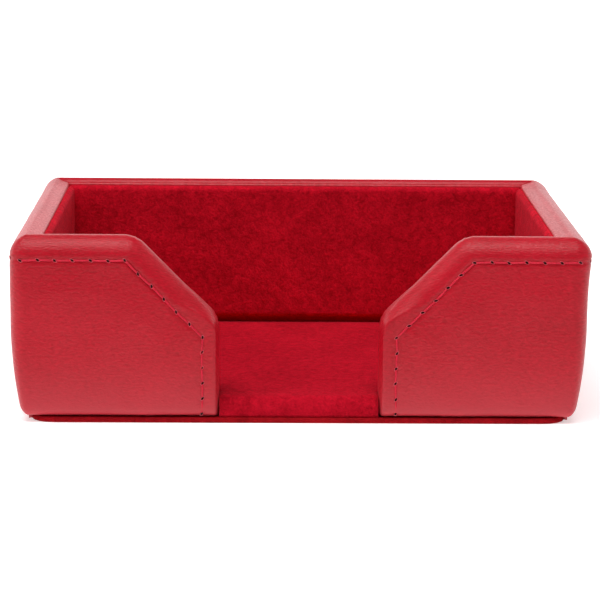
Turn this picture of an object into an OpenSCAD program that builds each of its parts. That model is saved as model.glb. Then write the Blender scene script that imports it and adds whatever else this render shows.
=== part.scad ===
// Desk card holder: an open tray of leather-wrapped boards, lined with suede panels.
// +Z is up, the thumb notch faces -Y, and the origin is the centre of the underside.

/* [Body] */
// Overall width of the tray
body_w = 108; // [104:0.5:116]
// Overall depth of the tray, front to back
body_d = 70; // [66:0.5:76]
// Overall height of the tray
body_h = 35.4; // [30:0.1:42]
// Plan radius of the four upright corners
corner_r = 3; // [2.5:0.1:5]
// Radius of the rolled outer edge of the rim
rim_r = 2; // [1:0.1:2.2]

/* [Thumb notch] */
// Width of the notch between its upright edges
notch_w = 30; // [20:0.5:36]
// Width of the notch at the rim
notch_top_w = 61; // [50:0.5:66]
// Height of the sloping edges, measured down from the rim
notch_slope_h = 15.8; // [10:0.1:18]

/* [Layers] */
// Thickness of the leather
leather_t = 1; // [0.8:0.1:1.2]
// Thickness of the foam sheet under the leather
foam_t = 1; // [0.6:0.1:1.2]
// Thickness of the wall boards
board_t = 3; // [2:0.1:4]
// Thickness of the base board
base_board_t = 2.4; // [2:0.1:3]
// Thickness of the suede
suede_t = 0.6; // [0.4:0.1:0.8]
// Thickness of the card behind each wall lining
card_t = 0.6; // [0.4:0.1:1]
// Thickness of the underside pad, a card wrapped in suede
pad_t = 1.1; // [1.1:0.1:1.6]
// How far the underside pad is set in from the sides
pad_side_inset = 2.8; // [2:0.1:6]

/* [Stitching] */
// Distance from one needle hole to the next
stitch_pitch = 3.3; // [2.8:0.1:4]
// Radius of the thread
thread_r = 0.22; // [0.15:0.01:0.25]
// Distance from the rim and the sloping edges to the seam
seam_inset = 4.3; // [3.5:0.1:5]
// Distance from the upright notch edges to the seam
seam_jamb_inset = 3.15; // [2.5:0.05:4]

/* [Hidden] */

$fn = 48;
eps = 0.01;          // overlap that keeps a cut from ending on a face
slack = 0.05;        // gap between pieces that are cut to meet

leather_red = [0.72, 0.17, 0.21];
suede_red = [0.62, 0.03, 0.09];
thread_red = [0.82, 0.14, 0.24];
board_brown = [0.72, 0.6, 0.45];
card_grey = [0.66, 0.64, 0.6];
foam_white = [0.9, 0.9, 0.88];

half_w = body_w / 2;
half_d = body_d / 2;

// Layers of a wall, as distances inwards from the leather's outer face
at_foam = leather_t;
at_board = at_foam + foam_t;
at_turn_in = at_board + board_t;
at_lining = at_turn_in + leather_t;
at_inside = at_lining + card_t + suede_t;

// Levels above the surface that the tray stands on
z_leather = pad_t;
z_base = z_leather + leather_t;
z_wall = z_base + base_board_t;
z_floor = z_wall + suede_t;
z_board_top = body_h - leather_t;
z_lining = z_floor + 1;
z_lining_top = body_h - 0.7;
z_slope = body_h - notch_slope_h;
z_seam = body_h - seam_inset;

turn_in = 29.9;      // leather folded over the rim and down the inner face
turn_under = 9;      // leather folded under the base board
below_r = 2;         // roll of the leather under the base
draft_top = 18;      // height below which the sides draw in
side_draft = 0.0064; // draw-in per square millimetre below draft_top
arc_steps = 4;       // flats in each rounded edge
draft_steps = 3;

lip_face = 0.8;      // front face of the suede lip, behind the leather's face
tongue_gap = 0.6;    // between the base board's tongue and the leather at the notch

// --- outlines ---------------------------------------------------------------------------

// How far the left and right faces draw in at height z
function draw_in(rate, z) = z < draft_top ? rate * pow(draft_top - z, 2) : 0;

// One side of an upright section, from its bottom to its top, as [distance out, height]
function section_side(half, z0, z1, r0, r1, rate) = concat(
    [for (i = [0 : arc_steps]) let (a = 90 - 90 * i / arc_steps, z = z0 + r0 * (1 - sin(a)))
        [half - draw_in(rate, z) - r0 * (1 - cos(a)), z]],
    [for (i = [1 : draft_steps]) let (z = z0 + r0 + (draft_top - z0 - r0) * i / draft_steps)
        [half - draw_in(rate, z), z]],
    [for (i = [0 : arc_steps]) let (a = 90 * i / arc_steps)
        [half - r1 * (1 - cos(a)), z1 - r1 * (1 - sin(a))]]
);

function mirrored(points) = [for (i = [len(points) - 1 : -1 : 0]) [-points[i][0], points[i][1]]];

module section(half, z0, z1, r0, r1, rate) {
    side = section_side(half, z0, z1, r0, r1, rate);
    polygon(concat(side, mirrored(side)));
}

module rounded_rect(w, d, r) {
    square([w - 2 * r, d], center = true);
    square([w, d - 2 * r], center = true);
    for (x = [-1, 1], y = [-1, 1])
        translate([x * (w / 2 - r), y * (d / 2 - r)]) circle(r);
}

// The tray's outer form, drawn in by a layer's depth; z0 and z1 are its bottom and top
module form(depth, z0, z1, r0, r1) {
    intersection() {
        translate([0, 0, z0 - 1]) linear_extrude(z1 - z0 + 2)
            rounded_rect(body_w - 2 * depth, body_d - 2 * depth, max(corner_r - depth, 0.6));
        rotate([90, 0, 0]) linear_extrude(body_d + 2, center = true)
            section(half_w - depth, z0, z1, r0, r1, side_draft);
        rotate([90, 0, 90]) linear_extrude(body_w + 2, center = true)
            section(half_d - depth, z0, z1, r0, r1, 0);
    }
}

module leather_form() { form(0, z_leather, body_h, below_r, rim_r); }
module foam_form() { form(at_foam, z_base, z_board_top, 1, rim_r - leather_t); }
module board_form() { form(at_board, z_base, z_board_top, 0.5, 0.1); }

// A block open to the top, standing this deep inside the outer face
module well(depth, z0, z1) {
    translate([depth - half_w, depth - half_d, z0])
        cube([body_w - 2 * depth, body_d - 2 * depth, z1 - z0]);
}

// The notch as a prism through the front wall, grown by this much all round
module notch(grow, z0, y0 = -half_d - 2, y1 = at_inside + 1 - half_d) {
    slope_grow = grow * (sqrt(2) - 1);
    low = notch_w / 2 + grow;
    rise = body_h + 2 - z_slope;
    run = (notch_top_w - notch_w) / 2 * rise / notch_slope_h;
    bend = z_slope - slope_grow;
    translate([0, y1, 0]) rotate([90, 0, 0]) linear_extrude(y1 - y0)
        polygon([[-low, z0], [low, z0], [low, bend], [low + run, bend + rise],
                 [-low - run, bend + rise], [-low, bend]]);
}

// A slice of the space from z0 upwards
module above(z0) {
    translate([-half_w - 1, -half_d - 1, z0]) cube([body_w + 2, body_d + 2, body_h + 2]);
}

module below(z1) {
    translate([-half_w - 1, -half_d - 1, -1]) cube([body_w + 2, body_d + 2, z1 + 1]);
}

// --- underside and base -----------------------------------------------------------------

pad_w = body_w - 2 * pad_side_inset;
pad_d = body_d - 2 * lip_face;
pad_corner_r = 4.2;

module underside_card() {
    color(card_grey) translate([0, 0, suede_t])
        linear_extrude(pad_t - suede_t)
            rounded_rect(pad_w - 2 * suede_t, pad_d - 2 * suede_t, pad_corner_r - suede_t);
}

module underside_suede() {
    color(suede_red) difference() {
        linear_extrude(pad_t) rounded_rect(pad_w, pad_d, pad_corner_r);
        translate([0, 0, suede_t]) linear_extrude(pad_t)
            rounded_rect(pad_w - 2 * suede_t, pad_d - 2 * suede_t, pad_corner_r - suede_t);
    }
}

tongue_w = notch_w - 2 * tongue_gap;
tongue_y = lip_face + suede_t - half_d;

module base_board() {
    color(board_brown) {
        intersection() {
            board_form();
            below(z_wall);
        }
        translate([-tongue_w / 2, tongue_y, z_base])
            cube([tongue_w, at_board + 1 - lip_face - suede_t, base_board_t]);
    }
}

// Suede glued over the base board and down the front of its tongue
module floor_suede() {
    lip_w = notch_w - 2 * slack;
    color(suede_red) {
        well(at_turn_in + slack, z_wall, z_floor);
        translate([-lip_w / 2, tongue_y, z_wall])
            cube([lip_w, at_turn_in + 1 - lip_face - suede_t, suede_t]);
        translate([-lip_w / 2, lip_face - half_d, z_leather])
            cube([lip_w, suede_t, z_floor - z_leather]);
    }
}

// --- wall boards ------------------------------------------------------------------------

module side_board() {
    intersection() {
        board_form();
        above(z_wall);
        translate([half_w - at_turn_in, -half_d, 0]) cube([at_turn_in, body_d, body_h]);
    }
}

module left_board() { color(board_brown) mirror([1, 0, 0]) side_board(); }
module right_board() { color(board_brown) side_board(); }

// Boards across the front and back stand between the side boards
cross_w = body_w - 2 * (at_turn_in + slack);

module back_board() {
    color(board_brown) intersection() {
        board_form();
        above(z_wall);
        translate([-cross_w / 2, half_d - at_turn_in, 0]) cube([cross_w, at_turn_in, body_h]);
    }
}

module front_board() {
    difference() {
        intersection() {
            board_form();
            above(z_wall);
            translate([0, -half_d, 0]) cube([cross_w / 2, at_turn_in, body_h]);
        }
        notch(leather_t, 0);
    }
}

module front_left_board() { color(board_brown) mirror([1, 0, 0]) front_board(); }
module front_right_board() { color(board_brown) front_board(); }

// --- foam and leather -------------------------------------------------------------------

module foam_wrap() {
    color(foam_white) difference() {
        foam_form();
        well(at_board, z_base - 1, body_h + 1);
        notch(leather_t, -1);
        below(z_base + 0.5);
        seam_slots(at_foam, 2 * (thread_r + slack));
    }
}

// Space inside the leather that the foam and the boards fill
module leather_core() {
    difference() {
        foam_form();
        notch(leather_t, z_wall);
        well(at_turn_in, z_wall, body_h + 1);
    }
}

// Space inside the tray, below the edge of the leather folded over the rim
module below_turn_in() {
    difference() {
        well(at_turn_in - eps, z_wall, body_h - turn_in);
        notch(turn_in, 0);
    }
}

module leather_wrap() {
    color(leather_red) difference() {
        leather_form();
        leather_core();
        below_turn_in();
        well(at_lining, z_wall, body_h + 1);
        well(at_turn_in - eps, z_wall - 1, z_floor + slack);
        well(turn_under, 0, z_base + 1);
        notch(0, -1);
        seam_slots(0, groove_deep);
    }
}

// --- stitching --------------------------------------------------------------------------

groove_w = 2 * thread_r + 0.4;
groove_deep = 2 * thread_r + 0.06;
seam_x = notch_w / 2 + seam_jamb_inset;
slope_run = (notch_top_w - notch_w) / 2;
slope_deg = atan2(notch_slope_h, slope_run);
// The seam runs parallel to the notch's edges, so its bends follow from the insets
seam_bend_z = z_slope - (seam_inset - seam_jamb_inset * sin(slope_deg)) / cos(slope_deg);
seam_top_x = seam_x + (z_seam - seam_bend_z) / tan(slope_deg);
seam_foot_z = z_leather + 1.6;

// Straight runs of the seam on the right half of the front, as [x, z] from end to end
front_runs = [
    [[seam_x, seam_foot_z], [seam_x, seam_bend_z]],
    [[seam_x, seam_bend_z], [seam_top_x, z_seam]],
    [[seam_top_x, z_seam], [half_w - corner_r, z_seam]]
];

// Lays children that run up +Z along one straight run of the seam, at a depth inside the face
module along(run, depth) {
    span = run[1] - run[0];
    translate([run[0][0], depth - half_d, run[0][1]]) rotate([0, atan2(span[0], span[1]), 0])
        children();
}

// Flat-bottomed slots for the thread, cut from one layer's outer face to this far in
module front_slots(depth, deep) {
    for (run = front_runs) along(run, depth)
        translate([-groove_w / 2, -1, -groove_w / 2])
            cube([groove_w, 1 + deep, norm(run[1] - run[0]) + groove_w]);
}

module seam_slots(depth, deep) {
    cut = depth + deep;
    front_slots(depth, deep);
    mirror([1, 0, 0]) front_slots(depth, deep);
    difference() {
        translate([-half_w - 1, -half_d - 1, z_seam - groove_w / 2])
            cube([body_w + 2, body_d + 2, groove_w]);
        linear_extrude(body_h) rounded_rect(body_w - 2 * cut, body_d - 2 * cut, corner_r - cut);
        translate([-seam_top_x, -half_d - 2, 0]) cube([2 * seam_top_x, body_d / 2, body_h]);
    }
}

// Stitches laid along a straight run from the origin up +Z
module stitch_run(span) {
    count = max(1, round(span / stitch_pitch));
    pitch = span / count;
    stitch = pitch - 0.7;
    for (i = [0 : count - 1])
        translate([0, 0, (i + 0.5) * pitch - stitch / 2]) cylinder(h = stitch, r = thread_r);
}

module corner_stitch(depth) {
    rotate([0, 0, 12]) rotate_extrude(angle = 66) translate([corner_r - depth, 0]) circle(thread_r);
}

// Stitches on the right half, with the thread's centre at a depth inside the leather's face
module stitches(depth) {
    for (run = front_runs) along(run, depth) stitch_run(norm(run[1] - run[0]));
    translate([half_w - corner_r, half_d - corner_r, z_seam]) corner_stitch(depth);
    translate([half_w - corner_r, corner_r - half_d, z_seam]) rotate([0, 0, -90])
        corner_stitch(depth);
    translate([half_w - depth, corner_r - half_d, z_seam]) rotate([-90, 0, 0])
        stitch_run(body_d - 2 * corner_r);
    translate([0, half_d - depth, z_seam]) rotate([0, 90, 0]) stitch_run(half_w - corner_r);
}

module needle_thread() {
    color(thread_red) {
        stitches(thread_r + 0.04);
        mirror([1, 0, 0]) stitches(thread_r + 0.04);
    }
}

module bobbin_thread() {
    color(thread_red) {
        stitches(at_foam + thread_r + slack);
        mirror([1, 0, 0]) stitches(at_foam + thread_r + slack);
    }
}

// --- wall linings -----------------------------------------------------------------------

lining_h = z_lining_top - z_lining;
lining_t = card_t + suede_t;

// A lining panel lies on its back: width along X, height along Y, suede side up
module lining_card_blank(w) {
    translate([suede_t - w / 2, suede_t, 0]) cube([w - 2 * suede_t, lining_h - 2 * suede_t, card_t]);
}

module lining_suede_blank(w) {
    difference() {
        translate([-w / 2, 0, 0]) cube([w, lining_h, lining_t]);
        translate([0, 0, -eps]) scale([1, 1, 1]) lining_card_blank(w);
        lining_card_blank(w);
    }
}

back_lining_w = body_w - 2 * (at_lining + slack);
side_lining_w = body_d - 2 * at_inside - 2 * slack;

module at_back() {
    translate([0, half_d - at_lining, z_lining]) rotate([90, 0, 0]) children();
}

module at_side(side) {
    translate([side * (half_w - at_lining), 0, z_lining]) rotate([90, 0, side * -90]) children();
}

module at_front() {
    translate([0, at_lining - half_d, z_lining]) rotate([90, 0, 180]) children();
}

module back_lining_card() { color(card_grey) at_back() lining_card_blank(back_lining_w); }
module back_lining_suede() { color(suede_red) at_back() lining_suede_blank(back_lining_w); }
module left_lining_card() { color(card_grey) at_side(-1) lining_card_blank(side_lining_w); }
module left_lining_suede() { color(suede_red) at_side(-1) lining_suede_blank(side_lining_w); }
module right_lining_card() { color(card_grey) at_side(1) lining_card_blank(side_lining_w); }
module right_lining_suede() { color(suede_red) at_side(1) lining_suede_blank(side_lining_w); }

// The front linings follow the notch, set back from its edge
lining_setback = 0.8;

module front_lining_outline(edge) {
    intersection() {
        children();
        difference() {
            translate([0, -half_d, 0]) cube([back_lining_w / 2 - edge, body_d, body_h]);
            notch(lining_setback + edge, 0);
        }
    }
}

module front_lining_card() {
    front_lining_outline(suede_t) at_front() lining_card_blank(back_lining_w);
}

module front_lining_suede() {
    difference() {
        front_lining_outline(0)
            translate([-back_lining_w / 2, at_lining - half_d, z_lining])
                cube([back_lining_w, lining_t, lining_h]);
        front_lining_card();
        translate([0, -eps, 0]) front_lining_card();
    }
}

module front_left_lining_card() { color(card_grey) mirror([1, 0, 0]) front_lining_card(); }
module front_right_lining_card() { color(card_grey) front_lining_card(); }
module front_left_lining_suede() { color(suede_red) mirror([1, 0, 0]) front_lining_suede(); }
module front_right_lining_suede() { color(suede_red) front_lining_suede(); }

// --- the pieces -------------------------------------------------------------------------

underside_card();
underside_suede();
base_board();
left_board();
right_board();
back_board();
front_left_board();
front_right_board();
foam_wrap();
leather_wrap();
needle_thread();
bobbin_thread();
floor_suede();
back_lining_card();
back_lining_suede();
left_lining_card();
left_lining_suede();
right_lining_card();
right_lining_suede();
front_left_lining_card();
front_left_lining_suede();
front_right_lining_card();
front_right_lining_suede();
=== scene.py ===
# %% [markdown]
# # A leather desk tray for cards
#
# The object is a low open tray: boards wrapped in thin padding and red leather, lined with suede. A wide
# notch in the front wall lets a thumb reach the cards. Each cell below makes one piece or one finish. The
# CAD model is loaded first as the frame, and every piece is made in its coordinates, in metres: +Z is up,
# the notch faces -Y, and the origin is the middle of the underside.

# %% Load the frame
import math

import bmesh
import bpy
import numpy as np
from mathutils import Euler, Matrix, Vector


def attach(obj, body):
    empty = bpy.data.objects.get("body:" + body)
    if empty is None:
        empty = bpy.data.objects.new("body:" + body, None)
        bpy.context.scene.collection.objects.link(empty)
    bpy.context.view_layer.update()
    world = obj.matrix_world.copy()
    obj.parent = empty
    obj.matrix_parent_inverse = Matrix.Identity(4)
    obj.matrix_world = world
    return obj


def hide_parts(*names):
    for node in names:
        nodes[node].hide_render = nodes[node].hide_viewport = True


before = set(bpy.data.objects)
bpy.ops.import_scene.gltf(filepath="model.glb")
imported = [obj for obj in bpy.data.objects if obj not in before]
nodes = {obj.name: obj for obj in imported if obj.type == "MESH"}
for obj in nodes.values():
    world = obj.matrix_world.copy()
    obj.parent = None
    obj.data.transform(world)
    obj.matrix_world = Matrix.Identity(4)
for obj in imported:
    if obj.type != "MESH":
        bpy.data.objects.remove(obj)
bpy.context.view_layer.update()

MM = 0.001
scene = bpy.context.scene

# %% [markdown]
# ## Sizes
#
# The visual pieces repeat the sizes of the CAD model, in millimetres, because this script can't read that
# file. The heights count up from the surface the tray stands on. Keeping every size in one place means that
# the leather, the seam and the linings stay in step with each other.

# %% Sizes of the tray, in mm
BODY_W, BODY_D, BODY_H = 108.0, 70.0, 35.4
HALF_W, HALF_D = BODY_W / 2, BODY_D / 2
CORNER_R = 3.0          # plan radius of the upright corners
WALL = 6.0              # leather, foam, board and turned-in leather
NOTCH_HALF = 15.0       # from the middle to the notch's upright edge
NOTCH_TOP_HALF = 30.5   # from the middle to the notch's end at the rim
Z_SLOPE = 19.6          # height where the upright edge turns into the slope
Z_LEATHER = 1.1         # underside of the leather
Z_FLOOR = 5.1           # top of the suede floor
SEAM_IN = 4.3           # seam to the rim and to the sloping edges
SEAM_JAMB_IN = 3.15     # seam to the upright notch edges
STITCH_PITCH = 3.25
THREAD_R = 0.18
LINING_T = 1.2          # card and suede together
print("wall thickness:", WALL, "mm; inside width:", BODY_W - 2 * (WALL + LINING_T), "mm")


# %% [markdown]
# ## From numbers to a mesh
#
# Most pieces here follow a rule, so their points are worked out as arrays. One helper makes the object, with
# a map of each point's place along the hide for the grain. The other cleans the mesh.

# %% Helpers that turn arrays of points and faces into an object
def mesh_object(name, points_mm, faces, uv=None):
    mesh = bpy.data.meshes.new(name)
    mesh.from_pydata([tuple(p) for p in np.asarray(points_mm) * MM], [], [tuple(f) for f in faces])
    if uv is not None:
        corner_vertex = np.empty(len(mesh.loops), dtype=np.int64)
        mesh.loops.foreach_get("vertex_index", corner_vertex)
        layer = mesh.uv_layers.new(name="hide")
        layer.data.foreach_set("uv", np.asarray(uv)[corner_vertex].ravel() * MM)
    mesh.update()
    mesh.polygons.foreach_set("use_smooth", [True] * len(mesh.polygons))
    made = bpy.data.objects.new(name, mesh)
    scene.collection.objects.link(made)
    return made


def tidy_mesh(made, merge_mm=0.002):
    """Merges doubled points and turns every face outwards."""
    soup = bmesh.new()
    soup.from_mesh(made.data)
    bmesh.ops.remove_doubles(soup, verts=soup.verts, dist=merge_mm * MM)
    bmesh.ops.dissolve_degenerate(soup, edges=soup.edges, dist=merge_mm * MM / 4)
    bmesh.ops.recalc_face_normals(soup, faces=soup.faces)
    soup.to_mesh(made.data)
    soup.free()
    return made


# %% [markdown]
# ## Going round the tray
#
# The outer face is treated as a strip that is wrapped round the tray. A place on it has a distance `s` round
# from the middle of the front (negative to the left), a height `z`, and a depth `q` below the leather's
# surface. One function turns the three into a point. Corners come out round on the outside, and as sharp
# mitres deeper in than their radius, just as leather folds over a board.

# %% From strip coordinates to points
FRONT_RUN = HALF_W - CORNER_R
CORNER_RUN = CORNER_R * math.pi / 2
SIDE_RUN = BODY_D - 2 * CORNER_R
HALF_LOOP = 2 * FRONT_RUN + 2 * CORNER_RUN + SIDE_RUN
DRAFT_TOP, DRAFT_RATE = 18.0, 0.0064        # the walls draw in towards the foot, below this height


def outward(s):
    """The plan direction that the outer face looks in, at s."""
    a = np.abs(s)
    turn = np.clip(a - FRONT_RUN, 0, CORNER_RUN) + np.clip(
        a - FRONT_RUN - CORNER_RUN - SIDE_RUN, 0, CORNER_RUN)
    angle = turn / CORNER_R
    return np.sign(s) * np.sin(angle), -np.cos(angle)


def place(s, z, q):
    """The point at s round the strip, z high and q deep, in mm."""
    s, z, q = np.broadcast_arrays(np.asarray(s, float), np.asarray(z, float), np.asarray(q, float))
    a = np.abs(s)
    nx, ny = outward(s)
    nx = np.abs(nx)
    past_first = np.clip(a - FRONT_RUN - CORNER_RUN, 0, SIDE_RUN)
    past_second = np.clip(a - FRONT_RUN - 2 * CORNER_RUN - SIDE_RUN, 0, FRONT_RUN)
    centre_x = np.clip(a, 0, FRONT_RUN) - past_second
    centre_y = -(HALF_D - CORNER_R) + past_first
    reach = np.clip(CORNER_R - q, 0, None)
    # Deeper than the corner's radius, the walls' inner lines stop where they meet on the mitre
    x = np.minimum(centre_x + reach * nx, HALF_W - q)
    y = np.clip(centre_y + (CORNER_R - q) * ny, q - HALF_D, HALF_D - q)
    in_corner = (nx > 1e-6) & (np.abs(ny) > 1e-6) & (q > CORNER_R)
    y = np.where(in_corner, np.sign(ny) * (HALF_D - q), y)
    x = np.where(nx > 1 - 1e-6, HALF_W - q, x)
    draw_in = DRAFT_RATE * np.clip(DRAFT_TOP - z, 0, None) ** 2 * np.clip(1 - q / WALL, 0, 1)
    x = x - draw_in * nx
    return np.stack([np.where(s < 0, -x, x), y, z], axis=-1)


print("half way round:", round(HALF_LOOP, 1), "mm; back middle:", place(HALF_LOOP, 10, 0).round(2))

# %% [markdown]
# ## The edge and the seam
#
# The leather's edge leaves the underside at the notch, climbs the upright, follows the slope and then runs
# level round the whole rim. Lines at a distance `d` from that edge bend on the mitres, and the seam is such
# a line. The padding is caught between the seam and the edge, so it stands up there as a soft roll, and the
# thread pulls a narrow furrow into the leather, deepest at each needle hole.

# %% Lines parallel to the edge
SLOPE_RUN, SLOPE_RISE = NOTCH_TOP_HALF - NOTCH_HALF, BODY_H - Z_SLOPE
LOW_TURN = math.atan2(SLOPE_RUN, SLOPE_RISE)
HIGH_TURN = math.atan2(SLOPE_RISE, SLOPE_RUN)


def low_bend(d):
    return NOTCH_HALF + d, Z_SLOPE - d * math.tan(LOW_TURN / 2)


def high_bend(d):
    return NOTCH_TOP_HALF + d * math.tan(HIGH_TURN / 2), BODY_H - d


# %% The seam's path and its needle holes, on the right half, as (s, z)
SEAM_FOOT_Z = 1.9       # lowest needle hole
slope_unit = np.array([SLOPE_RUN, SLOPE_RISE]) / math.hypot(SLOPE_RUN, SLOPE_RISE)
seam_x = NOTCH_HALF + SEAM_JAMB_IN
seam_low_z = Z_SLOPE - (SEAM_IN - SEAM_JAMB_IN * slope_unit[1]) / slope_unit[0]
seam_high_z = BODY_H - SEAM_IN
seam_high_x = seam_x + (seam_high_z - seam_low_z) * SLOPE_RUN / SLOPE_RISE
SEAM = np.array([[seam_x, SEAM_FOOT_Z], [seam_x, seam_low_z], [seam_high_x, seam_high_z],
                 [HALF_LOOP, seam_high_z]])


def needle_holes():
    """Evenly spaced holes along each stretch of the seam, with one at every bend."""
    holes = [SEAM[0]]
    for start, end in zip(SEAM[:-1], SEAM[1:]):
        span = np.linalg.norm(end - start)
        count = round(span / STITCH_PITCH)
        holes += [start + (end - start) * k / count for k in range(1, count + 1)]
    return np.array(holes)


HOLES = needle_holes()
print("needle holes on one half:", len(HOLES))


def off_seam(s, z):
    """Distance from points on the strip to the seam, in mm."""
    point = np.stack([np.abs(s), z], axis=-1)
    nearest = np.full(np.shape(s), 1e9)
    for start, end in zip(SEAM[:-1], SEAM[1:]):
        run = end - start
        share = np.clip(((point - start) @ run) / (run @ run), 0, 1)
        gap = np.linalg.norm(point - start - share[..., None] * run, axis=-1)
        nearest = np.minimum(nearest, gap)
    return nearest


def off_hole(s, z):
    """Distance from points on the strip to the nearest needle hole, in mm."""
    return np.min([np.hypot(np.abs(s) - hole_s, z - hole_z) for hole_s, hole_z in HOLES], axis=0)


# %% How far the leather stands out or sinks in
FURROW, FURROW_W = 0.16, 0.34       # depth and half width of the seam's furrow
PUCKER, PUCKER_W = 0.13, 0.6        # the same for the dip at each needle hole
BOW, BOW_RUN = 0.45, 6.0            # crown of the front and back, and how far it takes to rise
WAVES = (0.05, 0.035)               # long and short waves of the hide over the padding


def relief(s, z, d):
    """How far the leather stands proud of the flat face, in mm; d is the distance to the edge."""
    furrow = FURROW * np.exp(-(off_seam(s, z) / FURROW_W) ** 2)
    pucker = PUCKER * np.exp(-(off_hole(s, z) / PUCKER_W) ** 2)
    middle = (Z_LEATHER + BODY_H - SEAM_IN) / 2
    crown = np.clip(1 - ((z - middle) / (middle - Z_LEATHER)) ** 2, 0, 1)
    crown = crown * np.clip((d - SEAM_IN) / BOW_RUN, 0, 1) ** 0.8 * outward(s)[1] ** 2
    waves = WAVES[0] * np.sin(s * 0.21 + 1.3) * np.sin(z * 0.33 + s * 0.05)
    waves = waves + WAVES[1] * np.sin(np.abs(s) * 0.47 + z * 0.29 + 0.6 * np.sin(z * 0.5 + s * 0.11))
    return BOW * crown - furrow - pucker + waves * np.clip(d / 3, 0, 1)


# %% [markdown]
# ## The leather
#
# The leather could be a scaled box with bevels, but then the roll along the notch and the furrow of the seam
# would have no mesh to bend. Here it is built in rows and columns instead. The columns start at the notch,
# one for each place along the edge, and the rows follow the section: up the face, over the rolled rim, and
# down the inner side behind the lining. Below this border the columns run on straight down to the base. The
# two regions share their points, so the whole skin is one sheet of quads, and Solidify gives it thickness.

# %% Section of the border: pairs of distance from the edge and depth below the face
BORDER = 7.5            # width of the strip that follows the edge
# The roll: how far it reaches down the face, how deep into the wall, and how much like a flat bevel it is
RIM_ROLL = (4.1, 3.2, 1.0)
JAMB_ROLL = (0.65, 2.0, 1.75)
ROLL_TOP = math.radians(77)     # the roll stops short of level, so the padding ends in a soft ridge
INNER_ROLL = 0.6
LEDGE = 1.0             # flat edge beside the lining, a little lower than the padded roll
LEDGE_DROP = 0.3
TURN_IN = 30.2          # the leather runs down the inner face behind the linings


def border_section(reach, depth, bevel):
    """Up the face, over the roll, along the ledge, and down the inner face."""
    drop = LEDGE_DROP * min(1.0, reach / RIM_ROLL[0]) ** 2
    ledge_start = WALL - INNER_ROLL - LEDGE
    slope = ledge_start - 0.3 - depth
    rows = [(BORDER + (reach - BORDER) * k / 12, 0.0) for k in range(12)]
    rows += [(reach * (1 - (math.sin(a) / math.sin(ROLL_TOP)) ** bevel),
              depth * ((1 - math.cos(a) ** bevel) / (1 - math.cos(ROLL_TOP) ** bevel)))
             for a in np.linspace(0, ROLL_TOP, 13)]
    rows += [(drop * (0.5 - 0.5 * math.cos(math.pi * k / 4)), depth + slope * k / 4)
             for k in range(1, 5)]
    rows += [(drop, ledge_start + LEDGE * k / 2) for k in (0, 1)]
    rows += [(drop + INNER_ROLL * (1 - math.cos(a)), WALL - INNER_ROLL * (1 - math.sin(a)))
             for a in np.linspace(0, math.pi / 2, 6)]
    rows += [(drop + INNER_ROLL + (TURN_IN - INNER_ROLL) * k ** 1.5, WALL)
             for k in (0.1, 0.3, 0.6, 1)]
    return np.array(rows)


print("rows in the border:", len(border_section(*RIM_ROLL)))

# %% Columns along the edge, on the right half
BASE_ROLL = 2.0
base_shares = [(1 - math.sin(a)) * BASE_ROLL / (Z_SLOPE - Z_LEATHER) for a in
               np.linspace(math.pi / 2, 0, 7)]
JAMB_SHARES = np.concatenate([base_shares, np.linspace(base_shares[-1], 1, 27)[1:]])


def edge_columns():
    """For each column, a function of d that gives (s, z), and the column's roll."""
    def up_jamb(w):
        return lambda d: (low_bend(d)[0], Z_LEATHER + (low_bend(d)[1] - Z_LEATHER) * w)

    def up_slope(w):
        return lambda d: tuple(a + (b - a) * w for a, b in zip(low_bend(d), high_bend(d)))

    def along_front(w):
        return lambda d: (high_bend(d)[0] + (FRONT_RUN - high_bend(d)[0]) * w, BODY_H - d)

    def round_rim(s):
        return lambda d: (s, BODY_H - d)

    columns = [(up_jamb(w), JAMB_ROLL) for w in JAMB_SHARES]
    for w in np.linspace(0, 1, 41)[1:]:
        # The roll grows from the tight jamb to the full rim in the first stretch of the slope
        full = min(1, w * 2.5) ** 1.3
        columns.append((up_slope(w), tuple(j + (r - j) * full for j, r in zip(JAMB_ROLL, RIM_ROLL))))
    columns += [(along_front(w), RIM_ROLL) for w in np.linspace(0, 1, 37)[1:]]
    starts = np.cumsum([FRONT_RUN, CORNER_RUN, SIDE_RUN, CORNER_RUN, FRONT_RUN])
    for start, end, steps in zip(starts[:-1], starts[1:], (9, 104, 9, 84)):
        columns += [(round_rim(s), RIM_ROLL) for s in np.linspace(start, end, steps + 1)[1:]]
    return columns


COLUMNS = edge_columns()
print("columns on one half:", len(COLUMNS))


# %% Points of the right half of the skin
BEND_SOFTEN = 0.4       # how far the corners of the edge are rounded off
BACK_LIFT, BACK_RUN = 0.35, 8.0     # the padding rises along the back rim, over this run of the side


def soften_bends(s, z, d):
    """Rounds the two bends of the edge by drawing them in along their mitres."""
    for (bend_s, bend_z), aim in ((low_bend(0), (1.0, -math.tan(LOW_TURN / 2))),
                                  (high_bend(0), (math.tan(HIGH_TURN / 2), -1.0))):
        gap = np.hypot(s - bend_s - aim[0] * d, z - bend_z - aim[1] * d)
        pull = BEND_SOFTEN * np.exp(-(gap / 1.1) ** 2) * np.exp(-(d / 2.5) ** 2)
        s, z = s + pull * aim[0], z + pull * aim[1]
    return s, z


def border_points():
    """The border's places on the strip: s, z, distance from the edge, and depth."""
    n_rows = len(border_section(*RIM_ROLL))
    s, z, d, q = (np.empty((len(COLUMNS), n_rows)) for _ in range(4))
    for i, (where, roll) in enumerate(COLUMNS):
        d[i], q[i] = border_section(*roll).T
        for j in range(n_rows):
            s[i, j], z[i, j] = where(d[i, j])
    return s, z, d, q


def base_round(z, q):
    """How much deeper the face lies where it rolls under the base."""
    lift = np.clip(BASE_ROLL - (z - Z_LEATHER), 0, BASE_ROLL)
    return (BASE_ROLL - np.sqrt(BASE_ROLL ** 2 - lift ** 2)) * np.clip(1 - q / WALL, 0, 1)


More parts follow.
